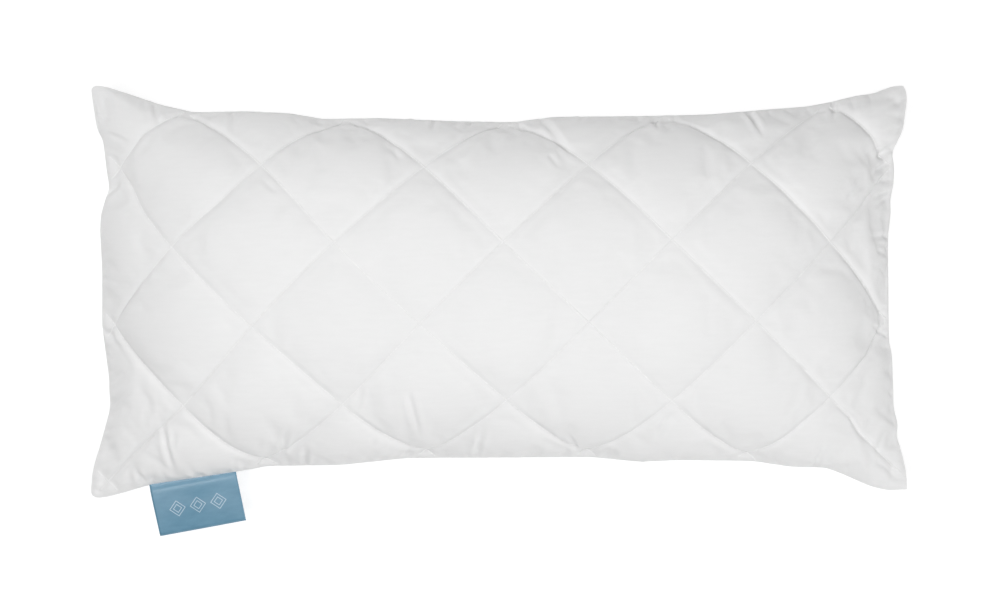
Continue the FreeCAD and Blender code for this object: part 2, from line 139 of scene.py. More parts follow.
# Stitches
STITCH_PITCH = 3.6
STITCH_LENGTH = 3.1
STITCH_RADIUS = 0.42
STITCH_MARGIN = 7.0
STITCH_STATIONS = ((0.0, 0.45), (0.14, 1.0), (0.86, 1.0), (1.0, 0.45))  # share along, share of radius
THREAD_SIDES = 6
SEAM_INSET = 1.0
SEAM_THREAD_RADIUS = 0.42


def smoothed(values, width):
    """The values with ripples shorter than the width taken out, and the two ends kept."""
    reach = int(3 * width)
    weights = np.exp(-0.5 * (np.arange(-reach, reach + 1) / width) ** 2)
    padded = np.pad(values, reach, mode="reflect", reflect_type="odd")
    return np.convolve(padded, weights / weights.sum(), mode="valid")


def soft_step(values, low, high):
    share = np.clip((values - low) / (high - low), 0, 1)
    return share * share * (3 - 2 * share)


class SideLine:
    """How far a side is pulled in: a smooth part that shapes the whole body and ripples near the seam."""

    def __init__(self, points, half):
        self.places = np.linspace(-half, half, int(2 * half) + 1)
        at, pull = np.array(points, float).T
        rough = np.interp(self.places, at, pull)
        fine = smoothed(rough, EDGE_SOFTNESS)
        self.body = smoothed(rough, BODY_SOFTNESS)
        self.ripple = fine - self.body

    def pull(self, places, nearness):
        body = np.interp(places, self.places, self.body)
        ripple = np.interp(places, self.places, self.ripple)
        return body * nearness + ripple * nearness**RIPPLE_REACH


FAR, NEAR = SideLine(FAR_SIDE, TIP_X), SideLine(NEAR_SIDE, TIP_X)
LEFT, RIGHT = SideLine(LEFT_SIDE, TIP_Y), SideLine(RIGHT_SIDE, TIP_Y)


def length_height(u):
    power, bend = LENGTH_PROFILE
    return np.maximum(1 - np.abs(u) ** power, 0) ** bend


def width_height(v):
    power, bend = WIDTH_PROFILE
    return np.maximum(1 - np.abs(v) ** power, 0) ** bend


PROFILE_SHARES = 1 - (1 - np.linspace(0, 1, 600)) ** 3  # closer together near the steep seam
RISES = np.linspace(0, 1, 9)


def arc_lengths(height, half):
    """Distance over the crown from the middle to each profile share, one row for each rise."""
    rows = []
    for rise in RISES:
        steps = np.hypot(
            np.diff(PROFILE_SHARES) * half, np.diff(rise * FRONT_CROWN * height(PROFILE_SHARES))
        )
        rows.append(np.concatenate([[0], np.cumsum(steps)]))
    return np.array(rows)


ARCS_ALONG = arc_lengths(length_height, SIDE_HALF_LENGTH)
ARCS_ACROSS = arc_lengths(width_height, SIDE_HALF_WIDTH)
FLAT_HALF_LENGTH = ARCS_ALONG[-1, -1]
FLAT_HALF_WIDTH = ARCS_ACROSS[-1, -1]


def arc_length(arcs, share, rise):
    """Distance over the crown from the middle to a share of the half side."""
    place = (1 - np.cbrt(1 - np.abs(share))) * (len(PROFILE_SHARES) - 1)
    level = rise * (len(RISES) - 1)
    i = np.minimum(place.astype(int), len(PROFILE_SHARES) - 2)
    j = np.minimum(level.astype(int), len(RISES) - 2)
    a, b = place - i, level - j
    lower = arcs[j, i] * (1 - a) + arcs[j, i + 1] * a
    upper = arcs[j + 1, i] * (1 - a) + arcs[j + 1, i + 1] * a
    return np.sign(share) * (lower * (1 - b) + upper * b)


def cloth_along(u, v):
    """Share of the flat cover's half length that lies between the middle and u."""
    rise = width_height(v) ** CORNER_FLATNESS
    return arc_length(ARCS_ALONG, u, rise) / arc_length(ARCS_ALONG, np.ones(u.shape), rise)


def cloth_across(u, v):
    """Share of the flat cover's half width that lies between the middle and v."""
    rise = length_height(u) ** CORNER_FLATNESS
    spread = (TIP_Y - SIDE_HALF_WIDTH) * u**4  # the corners reach further out than the sides
    whole = arc_length(ARCS_ACROSS, np.ones(v.shape), rise) + spread
    return (arc_length(ARCS_ACROSS, v, rise) + spread * v) / whole


def inverse(target, share_at):
    """The u or v whose share of the cloth is the target, by halving."""
    low = np.full(target.shape, -1.0)
    high = np.full(target.shape, 1.0)
    for _ in range(22):
        middle = (low + high) / 2
        under = share_at(middle) < target
        low = np.where(under, middle, low)
        high = np.where(under, high, middle)
    return (low + high) / 2


def samples(half, step):
    """Places across the flat cover, closer together in the flange along the seam."""
    inner = half - FLANGE
    flange = inner + FLANGE * np.array([0.35, 0.7, 0.9, 1.0])
    middle = np.linspace(-inner, inner, int(round(2 * inner / step)) + 1)
    return np.concatenate([-flange[::-1], middle, flange])


class Cloth:
    """The grid of the flat cover and where each of its points is in plan once the pillow is filled."""

    def __init__(self, step):
        self.along = samples(FLAT_HALF_LENGTH, step)
        self.across = samples(FLAT_HALF_WIDTH, step)
        self.s, self.t = np.meshgrid(self.along, self.across, indexing="ij")
        inner_s = FLAT_HALF_LENGTH - FLANGE
        inner_t = FLAT_HALF_WIDTH - FLANGE
        s_share = np.clip(self.s / inner_s, -1, 1)
        t_share = np.clip(self.t / inner_t, -1, 1)
        u, v = s_share.copy(), t_share.copy()
        for _ in range(3):
            u = inverse(s_share, lambda x: cloth_along(x, v))
            v = inverse(t_share, lambda x: cloth_across(u, x))
        self.u, self.v = u, v
        out_s = np.clip((np.abs(self.s) - inner_s) / FLANGE, 0, 1)
        out_t = np.clip((np.abs(self.t) - inner_t) / FLANGE, 0, 1)
        self.flange = np.maximum(out_s, out_t)
        self.edge = np.minimum(FLAT_HALF_LENGTH - np.abs(self.s), FLAT_HALF_WIDTH - np.abs(self.t))
        x = TIP_X * u - RIGHT.pull(TIP_Y * v, (1 + u) / 2) + LEFT.pull(TIP_Y * v, (1 - u) / 2)
        y = TIP_Y * v - FAR.pull(TIP_X * u, (1 + v) / 2) + NEAR.pull(TIP_X * u, (1 - v) / 2)
        x = x * (1 - FLANGE_OUT / TIP_X) + np.sign(self.s) * out_s * FLANGE_OUT
        y = y * (1 - FLANGE_OUT / TIP_Y) + np.sign(self.t) * out_t * FLANGE_OUT
        self.x, self.y = rounded_tips(x, y)


def rounded_tips(x, y):
    """The plan with each corner tip rounded."""
    p = np.clip(1 - (TIP_X - np.abs(x)) / TIP_RADIUS, 0, 1)
    q = np.clip(1 - (TIP_Y - np.abs(y)) / TIP_RADIUS, 0, 1)
    in_x = TIP_RADIUS * (p - p * np.sqrt(1 - q**2 / 2))
    in_y = TIP_RADIUS * (q - q * np.sqrt(1 - p**2 / 2))
    return x - np.sign(x) * in_x, y - np.sign(y) * in_y


def normals(points):
    """Unit vector square to a grid of points, on the side that faces up when the grid is level."""
    along = np.gradient(points, axis=0)
    across = np.gradient(points, axis=1)
    square = np.cross(along, across)
    return square / np.maximum(np.linalg.norm(square, axis=2, keepdims=True), 1e-9)


def above_floor(depth):
    """A depth below the seam, kept from going below the floor with a soft bend."""
    limit = SEAM_Z
    bend = FLOOR_SOFTNESS
    return -bend * np.logaddexp(-depth / bend, -limit / bend)


def body_surface(cloth, side, depth=0.0):
    """The smooth filled shape of one panel, or of a layer at this depth inside it."""
    crown = FRONT_CROWN if side == FRONT else BACK_CROWN
    height = (crown - depth) * length_height(cloth.u) * width_height(cloth.v)
    if side == BACK:
        height = above_floor(height)
    rim = FLANGE_HALF_THICKNESS * np.sqrt(1 - cloth.flange**2)
    return np.stack([cloth.x, cloth.y, SEAM_Z + side * (height + rim)], axis=2)


def line_distance(s, t, lean):
    """Distance over the cloth from the nearest quilting line of one of the two families."""
    a = (s - QUILT_SHIFT_LENGTH) / (DIAMOND_LENGTH / 2)
    b = (t - QUILT_SHIFT_WIDTH) / (DIAMOND_WIDTH / 2)
    phase = (a + lean * b - lean * 0.5) / 2
    nearest = np.abs(phase - np.round(phase)) * 2
    spacing = 1 / math.hypot(2 / DIAMOND_LENGTH, 2 / DIAMOND_WIDTH)
    return nearest * spacing


def groove(distance):
    depth = sum(share * np.exp(-distance / width) for share, width in GROOVE_TERMS)
    return 1 - depth


def quilt_height(cloth):
    """How far the quilted puffs stand out from the smooth shape."""
    puffs = groove(line_distance(cloth.s, cloth.t, 1)) * groove(line_distance(cloth.s, cloth.t, -1))
    tightness = (length_height(cloth.u) * width_height(cloth.v)) ** 2
    in_corner = np.abs(cloth.u * cloth.v) ** 6
    puff = PUFF_NEAR_SEAM + (PUFF_IN_MIDDLE - PUFF_NEAR_SEAM) * tightness
    puff = puff + (PUFF_IN_CORNER - puff) * in_corner
    return puff * (puffs - PUFF_LEVEL) * soft_step(cloth.edge, 2.0, 16.0)


# Creases that run in from the seam of the front: start X and Y, end X and Y, depth
CREASES = (
    (-61, 164, -64, 149, 1.6), (149, 166, 149, 152, 1.6), (236, 173, 248, 148, 3.2),
    (18, 163, 26, 154, 1.4), (45, 161, 67, 132, 1.6), (48, 126, 56, 116, 1.0),
    (-98, 134, -90, 122, 1.0), (-217, 102, -205, 90, 0.8), (377, 137, 361, 125, 2.2),
    (374, 124, 355, 106, 1.8), (375, 53, 349, 50, 1.4), (375, 42, 353, 47, 1.4),
    (375, 32, 355, 42, 1.2), (330, 90, 345, 104, 1.0), (-376, 94, -362, 107, 2.4),
    (-380, -35, -361, -59, 1.4), (-375, -109, -345, -93, 1.8), (-82, -101, -74, -136, 1.6),
    (-128, -95, -134, -113, 1.0), (-21, -152, -14, -127, 1.6), (73, -152, 66, -135, 1.4),
    (148, -134, 163, -114, 1.2), (109, -158, 113, -148, 1.2), (-205, -152, -197, -127, 1.6),
    (-185, -165, -181, -146, 1.6), (-310, -160, -320, -121, 2.0), (-308, -146, -305, -133, 1.0),
    (334, -118, 346, -142, 1.4), (362, -150, 368, -132, 1.0), (364, -165, 384, -178, 1.4),
    (-340, -182, -346, -168, 1.6), (300, -168, 306, -140, 1.4), (-255, 172, -250, 150, 1.2),
    (320, 180, 316, 160, 1.2), (-372, 150, -350, 140, 1.4), (-330, 178, -322, 160, 1.4),
)
CREASE_WIDTH = 2.5
CREASE_GAIN = 1.15


def crease_height(cloth):
    """Valleys with raised shoulders where the seam gathers the front."""
    height = np.zeros(cloth.x.shape)
    for x0, y0, x1, y1, depth in CREASES:
        length = math.hypot(x1 - x0, y1 - y0)
        along_x, along_y = (x1 - x0) / length, (y1 - y0) / length
        dx, dy = cloth.x - x0, cloth.y - y0
        along = (dx * along_x + dy * along_y) / length
        across = (dy * along_x - dx * along_y) / CREASE_WIDTH
        fade = soft_step(along, -0.35, 0.1) * (1 - soft_step(along, 0.35, 1.15))
        profile = -np.exp(-(across**2)) + 0.45 * np.exp(-((np.abs(across) - 2.0) ** 2))
        height += CREASE_GAIN * depth * fade * profile
    return height * soft_step(cloth.edge, 0.5, 4.0)


def pucker_height(cloth, side):
    """Small gathers at random places along the whole seam."""
    random = np.random.default_rng(SEED + side)
    height = np.zeros(cloth.x.shape)
    for along, across, along_half, across_half in (
        (cloth.s, cloth.t, FLAT_HALF_LENGTH, FLAT_HALF_WIDTH),
        (cloth.t, cloth.s, FLAT_HALF_WIDTH, FLAT_HALF_LENGTH),
    ):
        for end in (-1, 1):
            inside = across_half - end * across
            place = -along_half + 10
            while place < along_half - 10:
                length = random.uniform(7, 26)
                width = random.uniform(1.8, 4.5)
                depth = random.uniform(0.25, 1.7)
                slant = random.uniform(-0.5, 0.5)
                offset = (along - place - slant * inside) / width
                profile = np.exp(-(offset**2)) - 0.5 * np.exp(-((np.abs(offset) - 2) ** 2))
                height -= depth * profile * np.exp(-((inside / length) ** 2))
                place += random.uniform(6, 22)
    return height * soft_step(cloth.edge, 0.5, 5.0)


def soft_noise(cloth, cell, seed):
    """Smooth random heights from -1 to 1, with lumps about one cell wide."""
    random = np.random.default_rng(seed)
    rows = int(2 * FLAT_HALF_LENGTH / cell) + 3
    columns = int(2 * FLAT_HALF_WIDTH / cell) + 3
    table = random.uniform(-1, 1, (rows, columns))
    p = (cloth.s + FLAT_HALF_LENGTH) / cell
    q = (cloth.t + FLAT_HALF_WIDTH) / cell
    i, j = np.floor(p).astype(int), np.floor(q).astype(int)
    a, b = p - i, q - j
    a, b = a * a * (3 - 2 * a), b * b * (3 - 2 * b)
    near = table[i, j] * (1 - b) + table[i, j + 1] * b
    far = table[i + 1, j] * (1 - b) + table[i + 1, j + 1] * b
    return near * (1 - a) + far * a


def quilted_surface(cloth, side):
    """One outer panel with its quilting and soft unevenness, before it gathers."""
    points = body_surface(cloth, side)
    height = quilt_height(cloth)
    for width, high, seed_step, reach in LUMPS:
        lumps = soft_noise(cloth, width, SEED + seed_step * side)
        height += high * lumps * soft_step(cloth.edge, 2, reach)
    if side == BACK:
        height = np.minimum(height, 0) + FLOOR_PRESS * np.maximum(height, 0)
    return points + normals(points) * (side * height)[:, :, None]


def cover_surface(cloth, side, gathers):
    """One outer panel with its quilting, gathers and creases."""
    points = quilted_surface(cloth, side)
    height = pucker_height(cloth, side)
    if side == FRONT:
        height += crease_height(cloth)
    height = np.minimum(height, 0) + np.maximum(height, 0) * soft_step(cloth.edge, 2.0, WALL_REACH)
    outward = normals(points) * side
    points = points + outward * height[:, :, None] + gathers.shift(cloth, side)
    points[:, :, 2] = np.maximum(points[:, :, 2], FLOOR_CLEARANCE)
    in_slit = (cloth.y > SLIT_LOW_Y) & (cloth.y < SLIT_HIGH_Y) & (cloth.s > 0)
    lift = LIP_HALF_HEIGHT * (1 - soft_step(FLAT_HALF_LENGTH - cloth.s, 1.0, 8.0))
    points[:, :, 2] += side * np.where(in_slit, lift, 0)
    return points


# ---------------------------------------------------------------- meshes
def new_piece(name, points, faces, body=None):
    """A mesh object from points in millimetres."""
    mesh = bpy.data.meshes.new(name)
    mesh.from_pydata((np.asarray(points, float) * MM).tolist(), [], faces)
    mesh.validate()
    mesh.update()
    piece = bpy.data.objects.new(name, mesh)
    bpy.context.scene.collection.objects.link(piece)
    mesh.polygons.foreach_set("use_smooth", np.ones(len(mesh.polygons), bool))
    if body:
        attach(piece, body)
    return piece


def grid_faces(index, flip):
    """Quads over a grid of vertex numbers."""
    a, b = index[:-1, :-1].ravel(), index[1:, :-1].ravel()
    c, d = index[1:, 1:].ravel(), index[:-1, 1:].ravel()
    quads = np.stack([a, d, c, b] if flip else [a, b, c, d], axis=1)
    return quads.tolist()


def keep_places(piece, places):
    """Stores where each vertex lies on the flat cloth, in metres, for the weave in its material."""
    attribute = piece.data.attributes.new("cloth_place", "FLOAT_VECTOR", "POINT")
    attribute.data.foreach_set("vector", (np.asarray(places, np.float32) * MM).ravel())


LIP_PROFILE = ((0.6, 0.72), (1.8, 0.92), (3.6, 1.0))  # in from the lip, share of the pocket's height
WALL_PROFILE = ((0.0, 1.0), (1.0, 0.6))  # behind the zip, share of the pocket's height


def pocket_rows(lip_points):
    """Rows of points that line the pocket behind the slit, from the front lip to the back lip."""
    upper = []
    for inwards, share in LIP_PROFILE:
        row = lip_points.copy()
        row[:, 0] -= inwards
        row[:, 2] = POCKET_HALF_HEIGHT * share
        upper.append(row)
    for inwards, share in WALL_PROFILE:
        row = lip_points.copy()
        row[:, 0] = POCKET_X - inwards
        row[:, 2] = POCKET_HALF_HEIGHT * share
        upper.append(row)
    lower = [row * np.array([1, 1, -1]) for row in reversed(upper)]
    seam_level = np.array([0, 0, SEAM_Z])
    return [row + seam_level for row in upper + lower]


def joined_at_seam(rows, columns, open_columns=()):
    """Vertex numbers of a front grid and of a back grid that shares its border, but for the open part."""
    front_index = np.arange(rows * columns).reshape(rows, columns)
    shared = np.zeros((rows, columns), bool)
    shared[[0, -1], :] = True
    shared[:, [0, -1]] = True
    shared[-1, list(open_columns)] = False
    own = np.flatnonzero(~shared.ravel())
    back_index = front_index.copy()
    back_index.ravel()[own] = rows * columns + np.arange(len(own))
    return front_index, back_index, own


def flat_places(cloth):
    return np.stack([cloth.s, cloth.t, np.zeros(cloth.s.shape)], axis=2)


def quilted_cover(cloth, gathers):
    """The closed cover: front and back panels joined at the seam, with a lined slit for the zip."""
    front = cover_surface(cloth, FRONT, gathers)
    back = cover_surface(cloth, BACK, gathers)
    flat = flat_places(cloth)
    end_y = cloth.y[-1]
    open_columns = np.flatnonzero((end_y > SLIT_LOW_Y) & (end_y < SLIT_HIGH_Y))
    front_index, back_index, own = joined_at_seam(*cloth.s.shape, open_columns)
    points = [front.reshape(-1, 3), back.reshape(-1, 3)[own]]
    places = [flat.reshape(-1, 3), flat.reshape(-1, 3)[own]]

    count = sum(len(part) for part in points)
    strip = [front_index[-1, open_columns]]
    for row in pocket_rows(front[-1, open_columns]):
        strip.append(count + np.arange(len(row)))
        points.append(row)
        places.append(flat[-1, open_columns])
        count += len(row)
    strip.append(back_index[-1, open_columns])
    strip = np.array(strip)
    faces = grid_faces(front_index, False) + grid_faces(back_index, True) + grid_faces(strip, True)
    faces += slit_end(strip[:, 0], front_index[-1, open_columns[0] - 1], False)
    faces += slit_end(strip[:, -1], front_index[-1, open_columns[-1] + 1], True)
    piece = new_piece("quilted_cover", np.concatenate(points), faces)
    keep_places(piece, np.concatenate(places))
    return piece, front, back


def slit_end(column, corner, flip):
    """Triangles that close one end of the slit onto the last shared point of the seam."""
    fan = []
    for a, b in zip(column[:-1].tolist(), column[1:].tolist()):
        fan.append([int(corner), b, a] if flip else [int(corner), a, b])
    return fan


def place_on(cloth, surface, s, t):
    """Points of a panel at these places of the flat cover."""
    p = np.interp(s, cloth.along, np.arange(len(cloth.along)))
    q = np.interp(t, cloth.across, np.arange(len(cloth.across)))
    i = np.clip(np.floor(p).astype(int), 0, len(cloth.along) - 2)
    j = np.clip(np.floor(q).astype(int), 0, len(cloth.across) - 2)
    a, b = (p - i)[:, None], (q - j)[:, None]
    near = surface[i, j] * (1 - b) + surface[i, j + 1] * b
    far = surface[i + 1, j] * (1 - b) + surface[i + 1, j + 1] * b
    return near * (1 - a) + far * a


def stitch_ring(radius):
    """The many-sided outline of a thread, across it."""
    angles = np.arange(THREAD_SIDES) * math.tau / THREAD_SIDES
    return [(math.cos(a) * radius, math.sin(a) * radius) for a in angles]


def stitches(name, starts, ends, ups, radius):
    """Short rounded lengths of thread, each from a start to an end."""
    along = ends - starts
    length = np.linalg.norm(along, axis=1, keepdims=True)
    along = along / length
    side = np.cross(along, ups)
    side /= np.linalg.norm(side, axis=1, keepdims=True)
    up = np.cross(side, along)
    rings = []
    for share, size in STITCH_STATIONS:
        middle = starts + along * length * share + up * radius * (0.25 - 0.5 * abs(share - 0.5))
        for across, high in stitch_ring(radius):
            rings.append(middle + side * across * size + up * high * size)
    points = np.stack(rings, axis=1).reshape(-1, 3)
    per_stitch = THREAD_SIDES * len(STITCH_STATIONS)
    faces = []
    for first in range(0, len(points), per_stitch):
        faces += stitch_faces(first, per_stitch)
    return new_piece(name, points, faces)


def stitch_faces(first, count):
    """Faces of one stitch whose points start at this number: its sides and its two ends."""
    faces = []
    for ring in range(first, first + count - THREAD_SIDES, THREAD_SIDES):
        for n in range(THREAD_SIDES):
            a = ring + n
            b = ring + (n + 1) % THREAD_SIDES
            faces.append([a, b, b + THREAD_SIDES, a + THREAD_SIDES])
    last = first + count - THREAD_SIDES
    faces.append([first + n for n in reversed(range(THREAD_SIDES))])
    faces.append([last + n for n in range(THREAD_SIDES)])
    return faces


def quilt_stitches(cloth, surface, side, name):
    """Stitches along every quilting line of one panel."""
    starts, ends = [], []
    length_limit = FLAT_HALF_LENGTH - STITCH_MARGIN
    width_limit = FLAT_HALF_WIDTH - STITCH_MARGIN
    slope = DIAMOND_WIDTH / DIAMOND_LENGTH
    step = STITCH_PITCH / math.hypot(1, slope)
    share = STITCH_LENGTH / STITCH_PITCH
    for lean in (1, -1):
        for row in range(-QUILT_ROWS, QUILT_ROWS + 1):
            crossing = QUILT_SHIFT_LENGTH + DIAMOND_LENGTH * (row + 0.25 * lean)
            s = np.arange(-length_limit, length_limit, step)
            t = QUILT_SHIFT_WIDTH - lean * slope * (s - crossing)
            inside = np.abs(t) < width_limit
            s, t = s[inside], t[inside]
            if len(s) < FEWEST_STITCHES:
                continue
            starts.append(np.stack([s, t], axis=1))
            ends.append(np.stack([s + step * share, t - lean * slope * step * share], axis=1))
    starts, ends = np.concatenate(starts), np.concatenate(ends)
    outward = normals(surface) * side
    lifted = surface + outward * STITCH_RADIUS * 0.5
    first = place_on(cloth, lifted, starts[:, 0], starts[:, 1])
    last = place_on(cloth, lifted, ends[:, 0], ends[:, 1])
    ups = place_on(cloth, outward, starts[:, 0], starts[:, 1])
    return stitches(name, first, last, ups, STITCH_RADIUS)


def seam_stitches(cloth):
    """The row of stitches that closes the cover, just inside its edge, except at the zip."""
    length, width = FLAT_HALF_LENGTH - SEAM_INSET, FLAT_HALF_WIDTH - SEAM_INSET
    plan = np.stack([cloth.x, cloth.y, np.full(cloth.x.shape, SEAM_Z)], axis=2)
    starts, ends = [], []
    for side in (-1, 1):
        s = np.arange(-length, length - STITCH_LENGTH, STITCH_PITCH)
        t = np.full(s.shape, side * width)
        starts.append(place_on(cloth, plan, s, t))
        ends.append(place_on(cloth, plan, s + STITCH_LENGTH, t))
        t = np.arange(-width, width - STITCH_LENGTH, STITCH_PITCH)
        s = np.full(t.shape, side * length)
        start = place_on(cloth, plan, s, t)
        clear = (side < 0) | (start[:, 1] < SLIT_LOW_Y - STITCH_PITCH) | (start[:, 1] > SLIT_HIGH_Y + 1)
        starts.append(start[clear])
        ends.append(place_on(cloth, plan, s, t + STITCH_LENGTH)[clear])
    starts, ends = np.concatenate(starts), np.concatenate(ends)
    ups = np.tile([0.0, 0.0, 1.0], (len(starts), 1))
    return stitches("edge_seam_stitches", starts, ends, ups, SEAM_THREAD_RADIUS)


# ---------------------------------------------------------------- gathers
SETTLE_STEP = 5.0
SETTLE_FRAMES = 20
SETTLE_LIMIT = 5.0
SLACK = 0.03  # the cloth is this share larger than the form it is held to
TIGHT_MIDDLE = 0.6  # share of the gathers that the tight middle of the pillow smooths out
HELD_REACH = 3.4  # cloth this near to a quilting line is held by it


def spline_weights(coarse, fine):
    """Matrix that carries values at the coarse places to the fine ones along smooth curves."""
    place = np.interp(fine, coarse, np.arange(len(coarse)))
    first = np.clip(np.floor(place).astype(int), 0, len(coarse) - 2)
    a = place - first
    parts = ((1 - a) ** 3, 3 * a**3 - 6 * a**2 + 4, -3 * a**3 + 3 * a**2 + 3 * a + 1, a**3)
    weights = np.zeros((len(fine), len(coarse)))
    rows = np.arange(len(fine))
    for offset, part in zip((-1, 0, 1, 2), parts):
        np.add.at(weights, (rows, np.clip(first + offset, 0, len(coarse) - 1)), part / 6)
    return weights


class Gathers:
    """How a cloth simulation moves the cover: held along the seam and the quilting, slack between."""

    def __init__(self):
        self.shifts = None
        self.cloth = Cloth(SETTLE_STEP)
        self.shifts = self.settle()

    def settle(self):
        cloth = self.cloth
        start = [quilted_surface(cloth, side).reshape(-1, 3) for side in (FRONT, BACK)]
        front_index, back_index, own = joined_at_seam(*cloth.s.shape)
        piece = new_piece(
            "settling_cover", np.concatenate([start[0], start[1][own]]),
            grid_faces(front_index, False) + grid_faces(back_index, True),
        )
        self.hold(piece, own)
        self.simulate(piece)
        seen = piece.evaluated_get(bpy.context.evaluated_depsgraph_get())
        ended = np.empty(len(seen.data.vertices) * 3)
        seen.data.vertices.foreach_get("co", ended)
        ended = ended.reshape(-1, 3) / MM
        bpy.context.scene.frame_set(1)
        bpy.data.objects.remove(piece)
        shifts = {}
        for side, index, begun in ((FRONT, front_index, start[0]), (BACK, back_index, start[1])):
            shift = ended[index.ravel()] - begun
            far = np.linalg.norm(shift, axis=1, keepdims=True)
            shift *= SETTLE_LIMIT * np.tanh(far / SETTLE_LIMIT) / np.maximum(far, 1e-6)
            shifts[side] = shift.reshape(*cloth.s.shape, 3)
        return shifts

    def hold(self, piece, own):
        """Pins the seam and the quilting lines."""
        cloth = self.cloth
        line = np.minimum(line_distance(cloth.s, cloth.t, 1), line_distance(cloth.s, cloth.t, -1))
        held = ((line < HELD_REACH) | (cloth.edge < FLANGE + 0.5)).ravel()
        group = piece.vertex_groups.new(name="held")
        group.add(np.flatnonzero(np.concatenate([held, held[own]])).tolist(), 1.0, "REPLACE")

    def simulate(self, piece):
        modifier = piece.modifiers.new("settle", "CLOTH")
        settings = modifier.settings
        settings.quality = 5
        settings.mass = 0.2
        settings.tension_stiffness = 12
        settings.compression_stiffness = 12
        settings.shear_stiffness = 6
        settings.bending_stiffness = 0.15
        settings.use_pressure = True
        settings.uniform_pressure_force = 2.0
        settings.shrink_min = -SLACK
        settings.vertex_group_mass = "held"
        settings.effector_weights.gravity = 0
        modifier.collision_settings.use_collision = False
        modifier.point_cache.frame_start = 1
        modifier.point_cache.frame_end = SETTLE_FRAMES
        for number in range(1, SETTLE_FRAMES + 1):
            bpy.context.scene.frame_set(number)

    def shift(self, cloth, side):
        """The settled movement at every point of a finer grid."""
        if self.shifts is None:
            return 0.0
        along = spline_weights(self.cloth.along, cloth.along)
        across = spline_weights(self.cloth.across, cloth.across)
        moved = np.einsum("ia,abk->ibk", along, self.shifts[side])
        moved = np.einsum("jb,ibk->ijk", across, moved)
        tightness = (length_height(cloth.u) * width_height(cloth.v)) ** 2
        share = soft_step(cloth.edge, 0.0, WALL_REACH) * (1 - TIGHT_MIDDLE * tightness)
        return moved * share[:, :, None]


# ---------------------------------------------------------------- inner case and filling
CASE_CLEARANCE = 2.5  # below the cover's lining
CASE_SIDE_ROOM = 20.0
CASE_LUMPS = 0.6
FILLING_CLEARANCE = 5.0
FILLING_END_ROOM = 10.0
FILLING_SIDE_ROOM = 30.0
FILLING_LUMPS = 1.5
LUMP_WIDTH = 34.0
INNER_STEP = 7.0


def inner_piece(name, depth, end_room, side_room, lumps):
    """A closed soft form inside the cover: the inner case or the filling."""
    cloth = Cloth(INNER_STEP)
    shells = []
    for side in (FRONT, BACK):
        points = body_surface(cloth, side, depth)
        points[:, :, 0] *= 1 - end_room / TIP_X
        points[:, :, 1] *= 1 - side_room / TIP_Y
        if side == BACK:
            points[:, :, 2] = SEAM_Z + (points[:, :, 2] - SEAM_Z) * (1 - depth / SEAM_Z)
        lump = lumps * (soft_noise(cloth, LUMP_WIDTH, SEED + int(depth) + side) - 1)
        points += normals(points) * (side * lump * soft_step(cloth.edge, 1, 20))[:, :, None]
        shells.append(points.reshape(-1, 3))
    front_index, back_index, own = joined_at_seam(*cloth.s.shape)
    points = np.concatenate([shells[0], shells[1][own]])
    piece = new_piece(name, points, grid_faces(front_index, False) + grid_faces(back_index, True))
    flat = flat_places(cloth).reshape(-1, 3)
    keep_places(piece, np.concatenate([flat, flat[own]]))
    return piece


# ---------------------------------------------------------------- label
LABEL_PLY_GAP = 0.35  # half the gap between the two plies
LABEL_PLY = 0.3
LABEL_TURN = math.radians(3.0)  # sewn in slightly askew
LABEL_BEND = 1.7  # rise just past the seam, where the label folds over
LABEL_BEND_REACH = 2.3
LABEL_SLOPE = 0.2  # fall of the rest of the label for each millimetre out
LABEL_DROOP = 1.6  # how far the folded outer end turns down
LABEL_DROOP_REACH = 2.5
LABEL_TAIL = 7.6  # caught in the seam, measured from the hinge
LABEL_WAVE = 0.5
LABEL_WAVE_WIDTH = 11.0
LABEL_CURL = 0.5  # how far the outer corners curl up
LABEL_SLACK = 0.25  # how far the two plies part halfway out
LABEL_ROWS = 36
LABEL_COLUMNS = 43
FOLD_ROWS = 7
LABEL_STITCH_INSET = 5.0
LABEL_STITCH_RADIUS = 0.7  # enough to show on both plies


def label_frame():
    """The label's hinge, its directions across and out of the seam, and its width and length."""
    joint = next(j for j in frame["joints"] if j["name"] == "label_fold")
    hinge = Vector(joint["pos_m"]) / MM
    axis = Vector(joint["axis"]).normalized()
    low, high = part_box("satin_label")
    spread = (high - low) / MM
    double = axis.x**2 - axis.y**2
    width = (spread.x * axis.x - spread.y * axis.y) / double
    length = (spread.y * axis.x - spread.x * axis.y) / double
    across = Matrix.Rotation(LABEL_TURN, 3, "Z") @ axis
    return hinge, across, Vector((across.y, -across.x, 0)), width, length


def label_section(length):
    """Places out of the seam and heights of the ribbon's middle line, front ply first."""
    flat_run = length - LABEL_PLY_GAP
    step = (flat_run + LABEL_TAIL) / LABEL_ROWS
    front = [(-LABEL_TAIL + k * step, LABEL_PLY_GAP) for k in range(LABEL_ROWS + 1)]
    turn = [math.pi * k / (FOLD_ROWS + 1) for k in range(1, FOLD_ROWS + 1)]
    fold = [(flat_run + LABEL_PLY_GAP * math.sin(a), LABEL_PLY_GAP * math.cos(a)) for a in turn]
    back = [(place, -high) for place, high in reversed(front)]
    return front + fold + back


